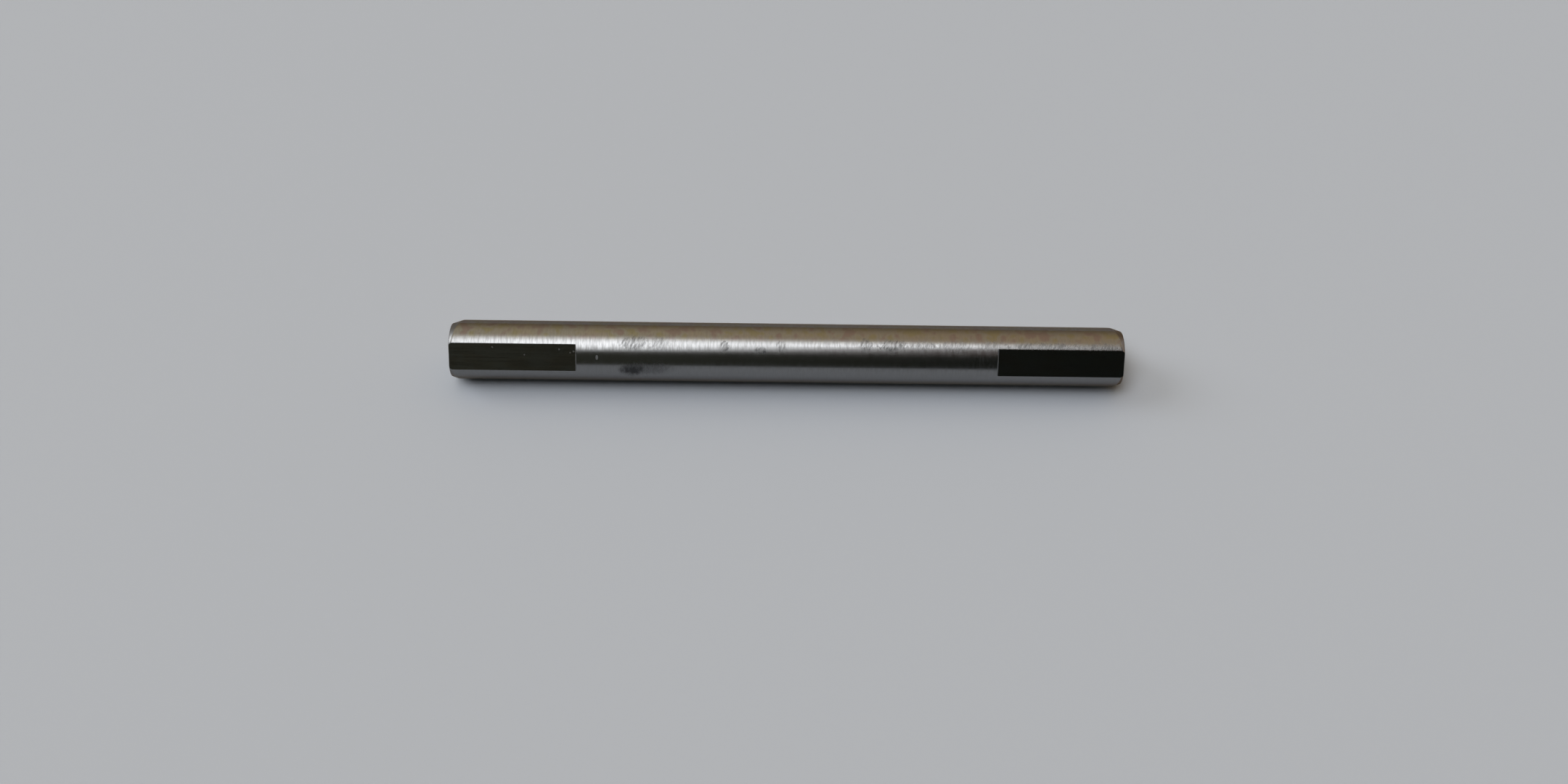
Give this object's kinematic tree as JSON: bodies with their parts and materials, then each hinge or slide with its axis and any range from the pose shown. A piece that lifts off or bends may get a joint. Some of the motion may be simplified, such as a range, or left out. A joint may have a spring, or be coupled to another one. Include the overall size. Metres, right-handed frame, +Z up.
{
  "type": "axle",
  "caption": "Straight round steel axle, ground smooth to carry a wheel or roller, with a chamfer and a shallow milled flat at each end where a set screw holds it.",
  "frame": {"origin": "on the axle's own axis, midway between its two end faces", "axes": "+X along the axle, +Z up as the axle lies; both flats look up at 40 degrees above level, towards -Y"},
  "size_m": [0.068, 0.006, 0.006],
  "materials": {
    "ground_steel": "ground round the shaft, milled on the flats"
  },
  "bodies": {
    "root": {"axle": "ground_steel"}
  },
  "joints": []
}
